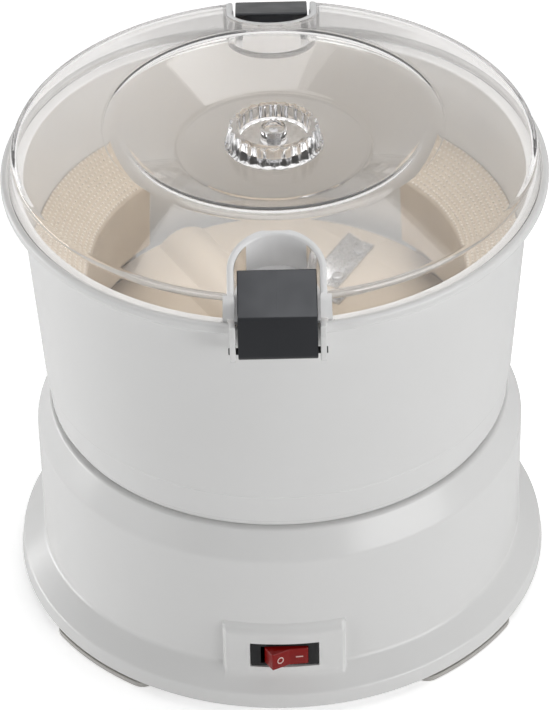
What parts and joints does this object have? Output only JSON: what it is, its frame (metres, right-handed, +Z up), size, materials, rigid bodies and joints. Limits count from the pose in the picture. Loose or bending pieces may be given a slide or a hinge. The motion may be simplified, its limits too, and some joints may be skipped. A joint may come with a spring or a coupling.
{
  "type": "electric potato peeler",
  "caption": "Electric potato peeler: geared motor base with rocker switch, lift-off bowl with a turning peeling disc, and a clear lid with a fluted knob held by hinged clips.",
  "frame": {"origin": "centre of the footprint, on the surface that the feet stand on", "axes": "+Z up along the bowl's axis, -Y towards the rocker switch and the front clip, +Y towards the cord gland"},
  "size_m": [0.256, 0.26, 0.2484],
  "materials": {
    "white_shell": "glossy",
    "foot_plastic": "matt",
    "panel_plastic": "satin",
    "clip_plastic": "satin",
    "clear_plastic": "clear",
    "black_plastic": "satin",
    "red_plastic": "glossy",
    "grey_plastic": "satin",
    "gear_plastic": "satin",
    "ivory_plastic": "satin",
    "steel": "brushed",
    "zinc_steel": "zinc plated",
    "bronze": "sintered",
    "brass": "stamped",
    "ferrite": "matt",
    "carbon": "matt",
    "copper": "wound",
    "board": "satin",
    "lead_sleeve": "matt",
    "seal_rubber": "matt"
  },
  "bodies": {
    "base": {"base_housing": "white_shell", "bottom_cover": "white_shell", "foot_pads": "foot_plastic", "cover_screws": "zinc_steel", "switch_body": "black_plastic", "switch_terminals": "brass", "cord_gland": "black_plastic", "terminal_block": "ivory_plastic", "rectifier_board": "board", "internal_leads": "lead_sleeve", "gear_plate": "grey_plastic", "plate_screws": "zinc_steel", "output_bush_upper": "bronze", "output_bush_lower": "bronze", "idler_axle": "steel", "motor_can": "zinc_steel", "motor_end_bell": "grey_plastic", "motor_bushes": "bronze", "motor_magnets": "ferrite", "motor_brushes": "carbon", "motor_screws": "zinc_steel"},
    "rocker": {"switch_rocker": "red_plastic"},
    "rotor": {"motor_shaft": "steel", "motor_armature": "copper", "motor_commutator": "copper", "motor_fan": "grey_plastic", "motor_pinion": "brass"},
    "idler": {"idler_gear": "gear_plastic"},
    "output": {"main_gear": "gear_plastic", "output_shaft": "steel", "output_ring": "zinc_steel", "drive_dog": "steel"},
    "bowl": {"bowl": "white_shell", "left_panel": "panel_plastic", "right_panel": "panel_plastic", "spindle_bush": "bronze", "spindle_seal": "seal_rubber", "clip_pins": "black_plastic"},
    "disc": {"spindle": "steel", "drive_socket": "grey_plastic", "peeling_disc": "panel_plastic", "disc_blades": "steel", "blade_rivets": "steel", "disc_nut": "grey_plastic"},
    "lid": {"lid": "clear_plastic", "knob": "clear_plastic", "knob_screw": "steel"},
    "front_clip": {"front_clip": "clip_plastic"},
    "back_clip": {"back_clip": "clip_plastic"}
  },
  "joints": [
    {"name": "rocker_tilt", "type": "hinge", "parent": "base", "child": "rocker", "pos_m": [0, -0.113, 0.0305], "axis": [0, 0, -1], "range_deg": [0, 32]},
    {"name": "bowl_lift", "type": "slide", "parent": "base", "child": "bowl", "axis": [0, 0, 1], "range_m": [0, 0.05]},
    {"name": "lid_lift", "type": "slide", "parent": "bowl", "child": "lid", "axis": [0, 0, 1], "range_m": [0, 0.052]},
    {"name": "disc_spin", "type": "hinge", "parent": "bowl", "child": "disc", "pos_m": [0, 0, 0.12], "axis": [0, 0, 1], "continuous": true},
    {"name": "output_spin", "type": "hinge", "parent": "base", "child": "output", "pos_m": [0, 0, 0.09], "axis": [0, 0, 1], "continuous": true},
    {"name": "idler_spin", "type": "hinge", "parent": "base", "child": "idler", "pos_m": [-0.04375, 0, 0.08], "axis": [0, 0, 1], "continuous": true},
    {"name": "rotor_spin", "type": "hinge", "parent": "base", "child": "rotor", "pos_m": [-0.07375, 0, 0.05], "axis": [0, 0, 1], "continuous": true},
    {"name": "front_clip_swing", "type": "hinge", "parent": "bowl", "child": "front_clip", "pos_m": [0, -0.126, 0.2125], "axis": [1, 0, 0], "range_deg": [0, 150]},
    {"name": "back_clip_swing", "type": "hinge", "parent": "bowl", "child": "back_clip", "pos_m": [0, 0.126, 0.2125], "axis": [-1, 0, 0], "range_deg": [0, 150]}
  ],
  "couplings": [
    {"joint": "output_spin", "follows": "disc_spin", "ratio": 1},
    {"joint": "idler_spin", "follows": "disc_spin", "ratio": -4},
    {"joint": "rotor_spin", "follows": "disc_spin", "ratio": 16},
    {"joint": "front_clip_swing", "follows": "lid_lift", "rad_per_m": 50},
    {"joint": "back_clip_swing", "follows": "lid_lift", "rad_per_m": 50}
  ]
}
